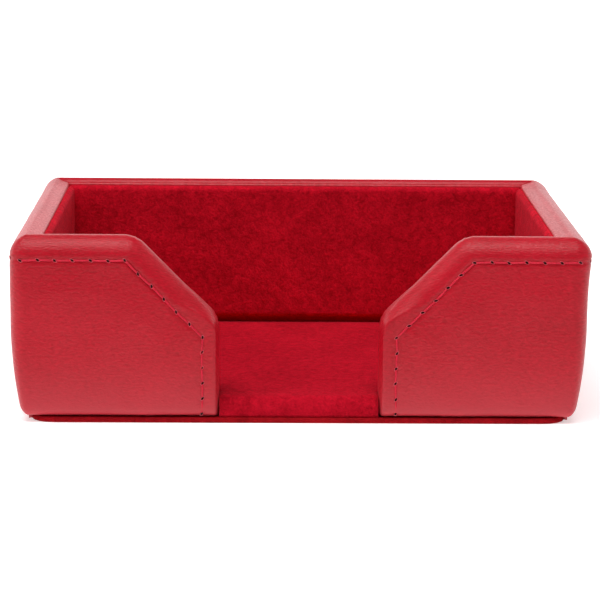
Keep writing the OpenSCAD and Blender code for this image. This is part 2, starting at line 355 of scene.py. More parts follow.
bs, bz, bd, bq = border_points()
on_face = np.clip(1 - bq / RIM_ROLL[1], 0, 1)
proud = relief(bs, bz, bd) * on_face
fs, fz = soften_bends(bs, bz, bd)
at_rim = np.clip(1 - bd / RIM_ROLL[0], 0, 1) * np.clip((WALL - bq) / 2, 0, 1)
to_back = np.clip(1 + (bs - FRONT_RUN - CORNER_RUN - SIDE_RUN) / BACK_RUN, 0, 1)
fz = fz + BACK_LIFT * at_rim * to_back
border = place(fs, fz, bq - proud + base_round(bz, bq))
print("border grid:", border.shape[:2])

# %% The face below the border, and the leather turned under the base
first_slope = len(JAMB_SHARES) - 1          # the column at the low bend opens the lower region
shares = JAMB_SHARES[::-1]                  # from the border down to the base
top_s, top_z = bs[first_slope:, 0], bz[first_slope:, 0]
ls = np.repeat(top_s[:, None], len(shares), axis=1)
lz = Z_LEATHER + (top_z[:, None] - Z_LEATHER) * shares[None, :]
to_slope = (ls - NOTCH_HALF) * slope_unit[1] - (lz - Z_SLOPE) * slope_unit[0]
ld = np.minimum(np.minimum(BODY_H - lz, ls - NOTCH_HALF), to_slope)
lower = place(ls, lz, base_round(lz, 0 * lz) - relief(ls, lz, ld))
UNDER = (2.6, 4.5, 8.0)     # rows of the leather turned under the base, measured in from the face
under = np.stack([place(top_s, Z_LEATHER, depth) for depth in UNDER], axis=1)
lower = np.concatenate([lower, under], axis=1)
print("lower grid:", lower.shape[:2])


# %% Both halves in one sheet of quads, then its thickness
LEATHER_T = 0.8
RIGHT_FULLER = 0.6      # the right rim is stuffed a little fuller than the left
FULLER_FROM, FULLER_RUN = 24.0, 8.0     # height where that starts, and how far up it grows


def fuller(grid):
    """How far points near the right wall's face move out, in mm."""
    outer = np.clip((grid[..., 0] - HALF_W + 5) / 4, 0, 1)
    return RIGHT_FULLER * outer * np.clip((grid[..., 2] - FULLER_FROM) / FULLER_RUN, 0, 1) ** 1.5


def grid_faces(rows, columns, offset, flip):
    """Quads between the points of a grid whose first point has the number offset."""
    i, j = np.meshgrid(np.arange(rows - 1), np.arange(columns - 1), indexing="ij")
    a = offset + i * columns + j
    quads = np.stack([a, a + columns, a + columns + 1, a + 1], axis=-1).reshape(-1, 4)
    return quads[:, ::-1] if flip else quads


lower_s = np.concatenate([ls, np.repeat(ls[:, :1], len(UNDER), axis=1)], axis=1)
lower_t = np.concatenate([lz, np.repeat(lz[:, -1:], len(UNDER), axis=1) - np.array(UNDER)], axis=1)
points, faces, uvs, count = [], [], [], 0
for side in (1, -1):
    for grid, u, v in ((border, bs, bz + bq), (lower, lower_s, lower_t)):
        rows, columns = grid.shape[:2]
        mirrored = grid * np.array([side, 1, 1])
        if side > 0:
            mirrored[..., 0] += fuller(grid)
        points.append(mirrored.reshape(-1, 3))
        uvs.append(np.stack([side * u, v], axis=-1).reshape(-1, 2))
        faces.append(grid_faces(rows, columns, count, flip=side < 0))
        count += rows * columns
leather = mesh_object("leather_cover", np.concatenate(points), np.concatenate(faces),
                      np.concatenate(uvs))
tidy_mesh(leather)
skin = leather.modifiers.new("thickness", "SOLIDIFY")
skin.thickness = LEATHER_T * MM
skin.offset = -1
print("leather:", len(leather.data.vertices), "points,", len(leather.data.polygons), "quads")

# %% [markdown]
# ## Suede over card
#
# Each inner wall is faced with a card that has suede drawn round its edges. What shows is a flat panel with
# softly rolled edges. A bevelled box would do for the plain ones, but the two front panels follow the notch.
# So one function makes them all: it takes any convex outline, steps inwards from it in rings while the
# surface rises along a quarter circle, and closes the middle.

# %% A panel with rolled edges, from its outline
def ring(outline, inset):
    """The outline drawn in by a distance, bending on its mitres."""
    outline = np.asarray(outline, float)
    before, after = np.roll(outline, 1, axis=0), np.roll(outline, -1, axis=0)
    u = (outline - before) / np.linalg.norm(outline - before, axis=1)[:, None]
    v = (after - outline) / np.linalg.norm(after - outline, axis=1)[:, None]
    inward_u, inward_v = np.stack([-u[:, 1], u[:, 0]], 1), np.stack([-v[:, 1], v[:, 0]], 1)
    mitre = inward_u + inward_v
    return outline + inset * mitre / (1 + np.sum(inward_u * inward_v, axis=1))[:, None]


def outline_points(corners, lengths, step, round_r):
    """The outline with rounded corners and its sides cut up; lengths fixes how many cuts each has."""
    points = []
    for k, corner in enumerate(corners):
        following = corners[(k + 1) % len(corners)]
        back, on = corners[k - 1] - corner, following - corner
        back, on = back / np.linalg.norm(back), on / np.linalg.norm(on)
        start, end = corner + back * round_r, corner + on * round_r
        points += [(1 - t) ** 2 * start + 2 * t * (1 - t) * corner + t * t * end
                   for t in np.linspace(0, 1, 6)]
        steps = max(1, int(lengths[k] / step))
        points += [end + (following - on * round_r - end) * j / steps for j in range(1, steps)]
    return np.array(points)


def soft_panel(name, corners, thickness, roll, to_world, round_r=0.5, step=2.0):
    """Corners run anticlockwise seen from the suede side; to_world takes (u, v, height) to a point."""
    corners = np.asarray(corners, float)
    lengths = np.linalg.norm(np.roll(corners, -1, axis=0) - corners, axis=1)
    arcs = np.linspace(0, math.pi / 2, 7)
    insets = [0.0] + [roll * (1 - math.cos(a)) for a in arcs] + [roll + 1.2]
    heights = [0.0] + [thickness - roll + roll * math.sin(a) for a in arcs] + [thickness]
    loops = [outline_points(ring(corners, inset), lengths, step, max(round_r - inset, 0.02))
             for inset in insets]
    n = len(loops[0])
    points = [np.column_stack([loop, np.full(n, h)]) for loop, h in zip(loops, heights)]
    faces = [(k * n + j, k * n + (j + 1) % n, (k + 1) * n + (j + 1) % n, (k + 1) * n + j)
             for k in range(len(loops) - 1) for j in range(n)]
    faces += [tuple(range((len(loops) - 1) * n, len(loops) * n)), tuple(range(n))[::-1]]
    flat = np.concatenate(points)
    made = mesh_object(name, to_world(flat[:, 0], flat[:, 1], flat[:, 2]), faces)
    return tidy_mesh(made)


# %% The five lining panels
LINING_BOTTOM, LINING_TOP = Z_FLOOR + 1.2, 34.6
LINING_ROLL = 1.1       # the suede turns over the card's edge
GLUE = 0.02             # gap to the turned-in leather
INSIDE_W = BODY_W - 2 * WALL - 0.1
SIDE_PANEL_D = BODY_D - 2 * (WALL + LINING_T) - 0.1


def on_back(u, v, h):
    return np.stack([-u, HALF_D - WALL - GLUE - h, v], axis=-1)


def on_left(u, v, h):
    return np.stack([-(HALF_W - WALL - GLUE) + h, u, v], axis=-1)


def on_right(u, v, h):
    return np.stack([HALF_W - WALL - GLUE - h, -u, v], axis=-1)


def on_front(u, v, h):
    return np.stack([u, -(HALF_D - WALL - GLUE) + h, v], axis=-1)


def upright(half_width):
    return [(-half_width, LINING_BOTTOM), (half_width, LINING_BOTTOM),
            (half_width, LINING_TOP), (-half_width, LINING_TOP)]


SETBACK = 0.8           # the front panels stop short of the notch's edge
low, high = low_bend(SETBACK), high_bend(SETBACK)
front_outline = [(-INSIDE_W / 2, LINING_BOTTOM), (-low[0], LINING_BOTTOM), (-low[0], low[1]),
                 (-high[0], LINING_TOP), (-INSIDE_W / 2, LINING_TOP)]
PANELS = {
    "back_lining": (upright(INSIDE_W / 2), on_back),
    "left_lining": (upright(SIDE_PANEL_D / 2), on_left),
    "right_lining": (upright(SIDE_PANEL_D / 2), on_right),
    "front_left_lining": (front_outline, on_front),
    "front_right_lining": ([(-x, z) for x, z in front_outline][::-1], on_front),
}
linings = {name: soft_panel(name, outline, LINING_T, LINING_ROLL, side)
           for name, (outline, side) in PANELS.items()}
print("lining panels:", {name: len(o.data.polygons) for name, o in linings.items()})

# %% [markdown]
# ## The floor
#
# One piece of suede is glued to the base board. In the notch it runs forward over the board's tongue and
# rolls down its front, so the floor seems to pour out between the two wings. It is made as a section from
# back to front, swept across the width. Only the middle strip is carried out through the notch.

# %% The floor's suede
LIP_FACE = 0.7          # front of the suede lip, behind the leather's face
LIP_ROLL = 2.0
FLOOR_TUCK = 0.9        # the suede runs this far under the walls' inner face
FLOOR_HALF_W = HALF_W - WALL + FLOOR_TUCK
FLOOR_HALF_D = HALF_D - WALL + FLOOR_TUCK
TONGUE_HALF = NOTCH_HALF - 0.02
SUEDE_T = 0.55


def floor_section():
    """The tongue from the walls' line to the front, over the roll and down to the base, as (y, z)."""
    lip_y = -HALF_D + LIP_FACE
    turn = [(lip_y + LIP_ROLL * (1 - math.sin(a)), Z_FLOOR - LIP_ROLL * (1 - math.cos(a)))
            for a in np.linspace(0, math.pi / 2, 12)]
    ahead = [(y, Z_FLOOR) for y in np.linspace(-FLOOR_HALF_D, turn[0][0], 6)[:-1]]
    down = [(lip_y, z) for z in np.linspace(Z_FLOOR - LIP_ROLL, Z_LEATHER + 0.05, 5)[1:]]
    return ahead + turn + down


def build_floor():
    across = np.concatenate([np.linspace(-FLOOR_HALF_W, -TONGUE_HALF, 12)[:-1],
                             np.linspace(-TONGUE_HALF, TONGUE_HALF, 25),
                             np.linspace(TONGUE_HALF, FLOOR_HALF_W, 12)[1:]])
    back_to_front = np.linspace(FLOOR_HALF_D, -FLOOR_HALF_D, 24)
    x, y = np.meshgrid(across, back_to_front, indexing="ij")
    inner = np.stack([x, y, np.full_like(x, Z_FLOOR)], axis=-1)
    tongue_x = np.linspace(-TONGUE_HALF, TONGUE_HALF, 25)
    section = np.array(floor_section())
    tx = np.repeat(tongue_x[:, None], len(section), axis=1)
    tongue = np.stack([tx, np.broadcast_to(section[:, 0], tx.shape),
                       np.broadcast_to(section[:, 1], tx.shape)], axis=-1)
    points = np.concatenate([inner.reshape(-1, 3), tongue.reshape(-1, 3)])
    faces = np.concatenate([grid_faces(*inner.shape[:2], 0, flip=True),
                            grid_faces(*tongue.shape[:2], inner.shape[0] * inner.shape[1], flip=True)])
    made = mesh_object("floor_suede_sheet", points, faces)
    tidy_mesh(made, merge_mm=0.01)
    cloth = made.modifiers.new("thickness", "SOLIDIFY")
    cloth.thickness = SUEDE_T * MM
    cloth.offset = -1
    return made


floor_suede = build_floor()
print("floor:", len(floor_suede.data.polygons), "quads")

# %% [markdown]
# ## The pad under the base
#
# The tray stands on a thin card wrapped in suede. It hides the leather's turned edges and keeps the boards
# off the desk. It is the same kind of piece as a lining, only with rounder corners, so the same function
# makes it. It lies face down, and its edges are set in from the walls.

# %% The pad
PAD_SIDE_INSET, PAD_FRONT_INSET = 3.3, 0.4
PAD_CORNER, PAD_ROLL = 5.0, 0.35
pad_x, pad_y = HALF_W - PAD_SIDE_INSET, HALF_D - PAD_FRONT_INSET


def under_base(u, v, h):
    return np.stack([u, -v, Z_LEATHER - h], axis=-1)


pad = soft_panel("underside_pad",
                 [(-pad_x, -pad_y), (pad_x, -pad_y), (pad_x, pad_y), (-pad_x, pad_y)],
                 Z_LEATHER, PAD_ROLL, under_base, round_r=PAD_CORNER)
print("pad lowest point, mm:", round(min(v.co.z for v in pad.data.vertices) / MM, 3))

# %% [markdown]
# ## Stitches
#
# The seam is a lockstitch: one thread lies on the leather, dives through a needle hole and comes up at the
# next. A curve with a pattern would look painted on, and separate objects would be hard to change. A
# Geometry Nodes tree fits best, because its input is only the line of needle holes: every edge becomes a
# stitch that arches between two holes, and every point becomes a hole. The inputs carry the sizes by name.

# %% The line of needle holes as a mesh
def seam_line(name, side):
    """One half's needle holes as points, joined by edges, with the way the leather faces and runs."""
    count = np.arange(len(HOLES))
    # No two stitches are quite alike
    s = side * HOLES[:, 0] + 0.10 * np.sin(count * 1.7 + side)
    z = HOLES[:, 1] + 0.07 * np.sin(count * 2.6 + 2 * side)
    sink = base_round(z, 0 * z) - relief(s, z, np.full(len(z), SEAM_IN)) - PUCKER - FURROW * 0.3
    at = place(s, z, sink)
    if side > 0:
        at[:, 0] += fuller(at)
    along = np.gradient(at, axis=0)
    along /= np.linalg.norm(along, axis=1)[:, None]
    nx, ny = outward(s)
    mesh = bpy.data.meshes.new(name)
    mesh.from_pydata([tuple(p) for p in at * MM], [(k, k + 1) for k in range(len(at) - 1)], [])
    for label, vectors in (("facing", np.stack([nx, ny, 0 * nx], axis=-1)), ("along", along)):
        layer = mesh.attributes.new(label, "FLOAT_VECTOR", "POINT")
        layer.data.foreach_set("vector", vectors.ravel())
    made = bpy.data.objects.new(name, mesh)
    scene.collection.objects.link(made)
    return made


# %% Small helpers for building node trees
def add(tree, kind, sets=(), links=(), **settings):
    """Adds a node, sets its properties and inputs, and links (from_socket, input) pairs to it."""
    made = tree.nodes.new(kind)
    for key, value in settings.items():
        setattr(made, key, value)
    for key, value in sets:
        made.inputs[key].default_value = value
    for socket, key in links:
        tree.links.new(socket, made.inputs[key])
    return made


def maths(tree, operation, *values):
    """A Math node; each value is a socket to link or a plain number."""
    made = add(tree, "ShaderNodeMath", operation=operation)
    for key, value in enumerate(values):
        if isinstance(value, (int, float)):
            made.inputs[key].default_value = value
        else:
            tree.links.new(value, made.inputs[key])
    return made.outputs[0]


def new_geometry_tree(name, sizes):
    tree = bpy.data.node_groups.new(name, "GeometryNodeTree")
    tree.interface.new_socket("Geometry", in_out="INPUT", socket_type="NodeSocketGeometry")
    for label, value in sizes.items():
        socket = tree.interface.new_socket(label, in_out="INPUT", socket_type="NodeSocketFloat")
        socket.default_value = value
    tree.interface.new_socket("Geometry", in_out="OUTPUT", socket_type="NodeSocketGeometry")
    return tree, tree.nodes.new("NodeGroupInput"), tree.nodes.new("NodeGroupOutput")


def grow(base, tree, sizes, name):
    """Runs a tree on a base object and returns its result as a plain mesh object."""
    modifier = base.modifiers.new("grow", "NODES")
    modifier.node_group = tree
    for item in tree.interface.items_tree:
        if item.in_out == "INPUT" and item.name in sizes:
            modifier[item.identifier] = sizes[item.name]
    evaluated = base.evaluated_get(bpy.context.evaluated_depsgraph_get())
    mesh = bpy.data.meshes.new_from_object(evaluated)
    mesh.name = name
    base.modifiers.remove(modifier)
    made = bpy.data.objects.new(name, mesh)
    scene.collection.objects.link(made)
    return made


def named_vector(tree, label):
    """Reads one of the seam line's attributes."""
    return add(tree, "GeometryNodeInputNamedAttribute", data_type="FLOAT_VECTOR",
               sets=[("Name", label)]).outputs[0]


def finish_tree(tree, laid, material, result):
    """Makes the instances real, smooths them and gives them their material, as the tree's result."""
    real = add(tree, "GeometryNodeRealizeInstances", links=[(laid.outputs[0], 0)])
    smooth = add(tree, "GeometryNodeSetShadeSmooth", links=[(real.outputs[0], 0)])
    finish = add(tree, "GeometryNodeSetMaterial", links=[(smooth.outputs[0], 0)])
    finish.inputs["Material"].default_value = material
    tree.links.new(finish.outputs[0], result.inputs[0])


# %% The stitch tree
STITCH_END, STITCH_PULL = 0.44, 0.36    # ends and handles of the arch, as shares of the stitch's length


def stitch_tree(material, sizes):
    tree, given, result = new_geometry_tree("lockstitch", sizes)
    ends = add(tree, "GeometryNodeInputMeshEdgeVertices")
    run = add(tree, "ShaderNodeVectorMath", operation="SUBTRACT",
              links=[(ends.outputs["Position 2"], 0), (ends.outputs["Position 1"], 1)])
    kept = add(tree, "GeometryNodeCaptureAttribute", domain="EDGE",
               links=[(given.outputs["Geometry"], 0)])
    kept.capture_items.new("VECTOR", "run")
    tree.links.new(run.outputs[0], kept.inputs["run"])
    spots = add(tree, "GeometryNodeMeshToPoints", mode="EDGES", links=[(kept.outputs[0], "Mesh")])
    turn = add(tree, "FunctionNodeAxesToRotation", primary_axis="X", secondary_axis="Z",
               links=[(kept.outputs["run"], "Primary Axis"),
                      (named_vector(tree, "facing"), "Secondary Axis")])
    length = add(tree, "ShaderNodeVectorMath", operation="LENGTH", links=[(kept.outputs["run"], 0)])
    scale = add(tree, "ShaderNodeCombineXYZ", sets=[(1, 1.0), (2, 1.0)],
                links=[(length.outputs["Value"], 0)])
    # One stitch of unit length: it comes up out of a hole, lies over the leather and goes down again
    dip = maths(tree, "MULTIPLY", given.outputs["Dive"], -1.0)
    arch = add(tree, "GeometryNodeCurvePrimitiveBezierSegment", sets=[("Resolution", 10)])
    for label, x, z in (("Start", -STITCH_END, dip), ("Start Handle", -STITCH_PULL, given.outputs["Arch"]),
                        ("End Handle", STITCH_PULL, given.outputs["Arch"]), ("End", STITCH_END, dip)):
        spot = add(tree, "ShaderNodeCombineXYZ", sets=[(0, x)], links=[(z, 2)])
        tree.links.new(spot.outputs[0], arch.inputs[label])
    rim = add(tree, "GeometryNodeCurvePrimitiveCircle", sets=[("Resolution", 8)],
              links=[(given.outputs["Thread radius"], "Radius")])
    tube = add(tree, "GeometryNodeCurveToMesh", sets=[("Fill Caps", True)],
               links=[(arch.outputs[0], 0), (rim.outputs[0], 1)])
    laid = add(tree, "GeometryNodeInstanceOnPoints",
               links=[(spots.outputs[0], "Points"), (tube.outputs[0], "Instance"),
                      (turn.outputs[0], "Rotation"), (scale.outputs[0], "Scale")])
    finish_tree(tree, laid, material, result)
    return tree


# %% [markdown]
# ## Needle holes
#
# The needle is a wedge, so each hole is a slit that stands a little across the seam, with a low lip of
# leather that the needle raised round it. Cut holes would break up the skin's quads for shapes smaller than
# the thread. So one tree, run twice, sets a pit and a thin ring on every point of the seam line. The pit is
# painted near-black as painted shade for the deep hole, and the ring is painted paler than the leather as a
# painted highlight.

# %% The needle hole tree, for the pits or for the lips round them
SLANT, SLIT = math.radians(-28), (1.5, 0.8, 1.0)


def hole_tree(name, material, sizes, lip):
    tree, given, result = new_geometry_tree(name, sizes)
    spots = add(tree, "GeometryNodeMeshToPoints", mode="VERTICES",
                links=[(given.outputs["Geometry"], "Mesh")])
    turn = add(tree, "FunctionNodeAxesToRotation", primary_axis="Z", secondary_axis="X",
               links=[(named_vector(tree, "facing"), "Primary Axis"),
                      (named_vector(tree, "along"), "Secondary Axis")])
    if lip:
        path = add(tree, "GeometryNodeCurvePrimitiveCircle", sets=[("Resolution", 16)],
                   links=[(given.outputs["Hole radius"], "Radius")])
        section = add(tree, "GeometryNodeCurvePrimitiveCircle", sets=[("Resolution", 6)],
                      links=[(given.outputs["Depth"], "Radius")])
        shape = add(tree, "GeometryNodeCurveToMesh",
                    links=[(path.outputs[0], 0), (section.outputs[0], 1)])
    else:
        cone = add(tree, "GeometryNodeMeshCone", fill_type="TRIANGLE_FAN",
                   sets=[("Vertices", 16), ("Radius Top", 0.0)],
                   links=[(given.outputs["Depth"], "Depth"),
                          (given.outputs["Hole radius"], "Radius Bottom")])
        shape = add(tree, "GeometryNodeTransform", sets=[("Rotation", (math.pi, 0, 0))],
                    links=[(cone.outputs[0], 0)])
    slit = add(tree, "GeometryNodeTransform", sets=[("Scale", SLIT)], links=[(shape.outputs[0], 0)])
    slanted = add(tree, "GeometryNodeTransform", sets=[("Rotation", (0, 0, SLANT))],
                  links=[(slit.outputs[0], 0)])
    laid = add(tree, "GeometryNodeInstanceOnPoints",
               links=[(spots.outputs[0], "Points"), (slanted.outputs[0], "Instance"),
                      (turn.outputs[0], "Rotation")])
    finish_tree(tree, laid, material, result)
    return tree


# %% [markdown]
# ## Finishes
#
# Every finish starts from the same shader and a few helpers. Image textures would tile and would have to be
# carried along with the script. Noise in the object's own coordinates has no edges, stays put on the piece
# from any side, and its sizes can be given in millimetres.

# %% A start for each finish
def new_finish(name, color, rough, **sockets):
    material = bpy.data.materials.new(name)
    material.use_nodes = True
    shader = material.node_tree.nodes["Principled BSDF"]
    shader.inputs["Base Color"].default_value = (*color, 1)
    shader.inputs["Roughness"].default_value = rough
    for key, value in sockets.items():
        shader.inputs[key.replace("_", " ")].default_value = value
    return material, material.node_tree, shader


def coordinates(tree, scale, source="Object"):
    """Coordinates in millimetres, stretched by scale; UV reads the piece's own map along the hide."""
    if source == "UV":
        start = add(tree, "ShaderNodeUVMap", uv_map="hide").outputs[0]
    else:
        start = add(tree, "ShaderNodeTexCoord").outputs[source]
    turned = add(tree, "ShaderNodeMapping", links=[(start, "Vector")])
    turned.inputs["Scale"].default_value = [k / MM for k in scale]
    return turned.outputs[0]


def noise(tree, vector, size, detail=3.0, rough=0.55, warp=0.0):
    """Noise whose largest features are about size mm across."""
    return add(tree, "ShaderNodeTexNoise", links=[(vector, "Vector")],
               sets=[("Scale", 1 / size), ("Detail", detail), ("Roughness", rough),
                     ("Distortion", warp)]).outputs["Fac"]


def blend_colors(tree, factor, low, high, start=0.3, end=0.7):
    ramp = add(tree, "ShaderNodeValToRGB", links=[(factor, "Fac")])
    ramp.color_ramp.elements[0].position, ramp.color_ramp.elements[1].position = start, end
    ramp.color_ramp.elements[0].color, ramp.color_ramp.elements[1].color = (*low, 1), (*high, 1)
    return ramp.outputs["Color"]


def blend_numbers(tree, factor, low, high, start=0.3, end=0.7):
    return add(tree, "ShaderNodeMapRange", links=[(factor, "Value")],
               sets=[("From Min", start), ("From Max", end), ("To Min", low),
                     ("To Max", high)]).outputs[0]


def bump(tree, height, depth_mm, after=None):
    made = add(tree, "ShaderNodeBump", links=[(height, "Height")],
               sets=[("Strength", 1.0), ("Distance", depth_mm * MM)])
    if after is not None:
        tree.links.new(after, made.inputs["Normal"])
    return made.outputs["Normal"]


# %% [markdown]
# ## Red leather
#
# The leather is a saturated red with a fine grain of wavy wrinkles that run round the tray. Noise stretched
# along the hide gives the wrinkles, and it reads the hide's own map, so that the grain bends over the roll
# as the leather does. The gloss is low, and the pale bloom on the rims is only the bright room seen at a
# shallow angle. The shine would hide most of a raised grain, so the wrinkles' shading is painted into the
# colour as painted shade, and the white table's reflection is painted in as a paler colour towards the base.

# %% The leather's finish
LEATHER_DARK, LEATHER_BRIGHT = (0.40, 0.002, 0.010), (0.590, 0.006, 0.022)
PAINTED_FOOT_REFLECTION, FOOT_REFLECTION_TOP = (0.535, 0.041, 0.056), 15.0    # painted reflection of the white table, paler towards the base
GRAIN_DEPTH, FINE_DEPTH = 0.11, 0.015


def leather_finish():
    material, tree, shader = new_finish("red_leather", LEATHER_BRIGHT, 0.32, IOR=1.45,
                                        Specular_IOR_Level=0.36)
    wrinkles = noise(tree, coordinates(tree, (0.7, 1.5, 1.0), "UV"), 0.6, 2.5, 0.6, warp=0.6)
    fine = noise(tree, coordinates(tree, (1.2, 2.0, 1.0), "UV"), 0.4, 2.0, 0.6, warp=0.4)
    clouds = noise(tree, coordinates(tree, (1, 1, 1)), 12.0, detail=3.0)
    # Painted shade: the valleys of the wrinkles are painted a deeper red than their crests, in place of the
    # shading a deeper grain would give; the clouds add the hide's own uneven tone
    shade = maths(tree, "MULTIPLY_ADD", clouds, 0.35, wrinkles)
    color = blend_colors(tree, blend_numbers(tree, shade, 0.0, 1.0, 0.45, 0.90), LEATHER_DARK,
                         LEATHER_BRIGHT, 0.0, 1.0)
    # Painted reflection: the colour turns paler and pinker towards the base, standing in for the white table
    # seen in the low gloss
    height = add(tree, "ShaderNodeSeparateXYZ", links=[(coordinates(tree, (1, 1, 1)), 0)])
    foot_reflection = blend_numbers(tree, height.outputs["Z"], 1.0, 0.0, 0.0, FOOT_REFLECTION_TOP)
    blend = add(tree, "ShaderNodeMix", data_type="RGBA",
                links=[(maths(tree, "POWER", foot_reflection, 1.8), 0), (color, 6)])
    blend.inputs[7].default_value = (*PAINTED_FOOT_REFLECTION, 1)
    tree.links.new(blend.outputs[2], shader.inputs["Base Color"])
    tree.links.new(blend_numbers(tree, wrinkles, 0.42, 0.30), shader.inputs["Roughness"])
    raised = bump(tree, fine, FINE_DEPTH, bump(tree, wrinkles, GRAIN_DEPTH))
    tree.links.new(raised, shader.inputs["Normal"])
    return material


# %% [markdown]
# ## Suede
#
# Suede has no gloss. Its short nap lies every way, so its colour is clouded and speckled. Hairs could make
# the nap, but it would take millions of them. Three sizes of noise, from nap to cloud, and a little sheen
# give the same look. The pad's suede is pressed flat by the tray's weight, so it has less sheen.

# %% The suede's finish
NAP_DEPTH = 0.22


def suede_finish(name, dark, bright, sheen=0.16):
    material, tree, shader = new_finish(name, bright, 0.95, IOR=1.3, Specular_IOR_Level=0.12,
                                        Sheen_Weight=sheen, Sheen_Roughness=0.45)
    shader.inputs["Sheen Tint"].default_value = (0.9, 0.14, 0.2, 1)
    nap = noise(tree, coordinates(tree, (1, 1, 1)), 0.45, detail=3.0, rough=0.7)
    tufts = noise(tree, coordinates(tree, (1, 1, 1)), 1.3, detail=3.0, rough=0.6, warp=0.3)
    clouds = noise(tree, coordinates(tree, (1, 1, 1)), 9.0, detail=2.0, rough=0.5)
    speckle = maths(tree, "ADD", nap, tufts)
    share = blend_numbers(tree, maths(tree, "MULTIPLY_ADD", clouds, 0.5, speckle), 0.0, 1.0, 0.95, 1.55)
    tree.links.new(blend_colors(tree, share, dark, bright, 0.0, 1.0), shader.inputs["Base Color"])
    tree.links.new(bump(tree, speckle, NAP_DEPTH), shader.inputs["Normal"])
    return material


# %% [markdown]
# ## Thread, needle holes and hidden layers
#
# The thread is twisted, so its colour and surface change over a fraction of a millimetre. The board, the
# card and the padding hardly show, and one plain finish with two colours and a grain serves them all.

# %% Finishes for the thread, the needle holes and the hidden layers
def thread_finish():
    material, tree, shader = new_finish("crimson_thread", (0.70, 0.012, 0.045), 0.6, IOR=1.4)
    plies = noise(tree, coordinates(tree, (1, 1, 1)), 0.35, detail=2.0, warp=1.2)
    tree.links.new(blend_colors(tree, plies, (0.57, 0.004, 0.021), (0.80, 0.013, 0.053)),
                   shader.inputs["Base Color"])
    tree.links.new(bump(tree, plies, 0.06), shader.inputs["Normal"])
    return material


def plain_finish(name, dark, bright, rough, grain, bump_mm):
    material, tree, shader = new_finish(name, bright, rough)
    grains = noise(tree, coordinates(tree, (1, 1, 1)), grain, detail=5.0, rough=0.65)
    tree.links.new(blend_colors(tree, grains, dark, bright), shader.inputs["Base Color"])
    tree.links.new(bump(tree, grains, bump_mm), shader.inputs["Normal"])
    return material


FINISH = {
    "leather": leather_finish(),
    # Painted light: the linings' suede is a lighter copy of the floor's suede, brightened to make up for
    # light the shaded upright walls lack
    "lining_suede": suede_finish("lining_suede_nap", (0.37, 0.002, 0.010), (0.73, 0.007, 0.026)),
    "floor_suede": suede_finish("floor_suede_nap", (0.33, 0.002, 0.010), (0.60, 0.006, 0.023)),
    "underside_suede": suede_finish("underside_suede_nap", (0.24, 0.003, 0.006),
                                    (0.41, 0.006, 0.012), sheen=0.04),
    "thread": thread_finish(),
    "board": plain_finish("fibreboard", (0.30, 0.20, 0.11), (0.48, 0.35, 0.22), 0.85, 0.8, 0.05),
    "card": plain_finish("grey_card", (0.30, 0.29, 0.26), (0.42, 0.41, 0.38), 0.9, 0.6, 0.03),
    "foam": plain_finish("padding_sheet", (0.70, 0.70, 0.66), (0.82, 0.82, 0.78), 0.9, 0.5, 0.08),
}
# Painted highlight: the lips are painted a paler pink than the leather, standing in for glints of light on
# the raised leather round each hole
lip_highlight_finish = plain_finish("needle_lip", (0.55, 0.03, 0.05), (0.72, 0.11, 0.14), 0.35, 0.3, 0.01)
# Painted shade: the pits are painted near-black, standing in for the shade inside the deep needle holes
hole_shade_finish = plain_finish("needle_hole", (0.01, 0.002, 0.002), (0.03, 0.004, 0.004), 0.9, 0.3, 0.02)
hole_shader = hole_shade_finish.node_tree.nodes["Principled BSDF"]
hole_shader.inputs["Specular IOR Level"].default_value = 0.05       # a pit sends back next to no light
print("finishes:", sorted(FINISH))

# %% [markdown]
# ## Growing the seam
#
# The trees run on a line for each half of the tray, because the seam stops at the notch. Each result is
# turned into a plain mesh, and its halves are joined, so thread, pits and lips are one piece each.

# %% Grow the stitches and the holes, and join the two halves
def join(first, *others):
    soup = bmesh.new()
    for made in (first, *others):
        soup.from_mesh(made.data)
    soup.to_mesh(first.data)
    soup.free()
    for made in others:
        bpy.data.objects.remove(made)
    return first


STITCH_SIZES = {"Thread radius": THREAD_R * MM, "Arch": 0.18 * MM, "Dive": 0.2 * MM}
HOLE_SIZES = {"Hole radius": 0.28 * MM, "Depth": 0.5 * MM}
LIP_SIZES = {"Hole radius": 0.30 * MM, "Depth": 0.055 * MM}
GROWN = {
    "seam_thread": (stitch_tree(FINISH["thread"], STITCH_SIZES), STITCH_SIZES),
    "needle_holes": (hole_tree("needle_pits", hole_shade_finish, HOLE_SIZES, lip=False), HOLE_SIZES),
    "needle_hole_lips": (hole_tree("needle_lips", lip_highlight_finish, LIP_SIZES, lip=True), LIP_SIZES),
}
seams = [seam_line("seam_" + label, side) for label, side in (("right", 1), ("left", -1))]
grown = {}
for name, (tree, tree_sizes) in GROWN.items():
    grown[name] = join(*[grow(seam, tree, tree_sizes, name + seam.name[4:]) for seam in seams])
    grown[name].name = name
for seam in seams:
    bpy.data.objects.remove(seam)
print("faces:", {name: len(o.data.polygons) for name, o in grown.items()})

# %% [markdown]
# ## The padding
#
# Under the leather lies a thin foam sheet. The CAD model holds it at its full thickness, but stitched
# leather presses it thin, most of all at the rim. So a copy of the modelled sheet is merged, because its
# triangles are loose, and every point is drawn in along its normal.

# %% The padding sheet, pressed thin
SQUEEZE = 0.3
soup = bmesh.new()
soup.from_mesh(nodes["foam_wrap"].data)
soup.transform(nodes["foam_wrap"].matrix_world)
bmesh.ops.remove_doubles(soup, verts=soup.verts, dist=0.002 * MM)
soup.normal_update()
steps = [(v, v.normal * min(v.calc_shell_factor(), 2.0) * SQUEEZE * MM) for v in soup.verts]
for v, step in steps:
    v.co -= step
padding = bpy.data.objects.new("padding", bpy.data.meshes.new("padding"))
soup.to_mesh(padding.data)
soup.free()
scene.collection.objects.link(padding)
print("padding:", len(padding.data.polygons), "faces")

# %% [markdown]
# ## Dressing the frame
#
# Each visual piece gets its finish, rides on the tray's one body and takes the place of the CAD node it
# shows better. The needle holes replace nothing, because the frame has none. The boards, the cards and the
# bobbin thread stay as they were modelled and only get a finish.

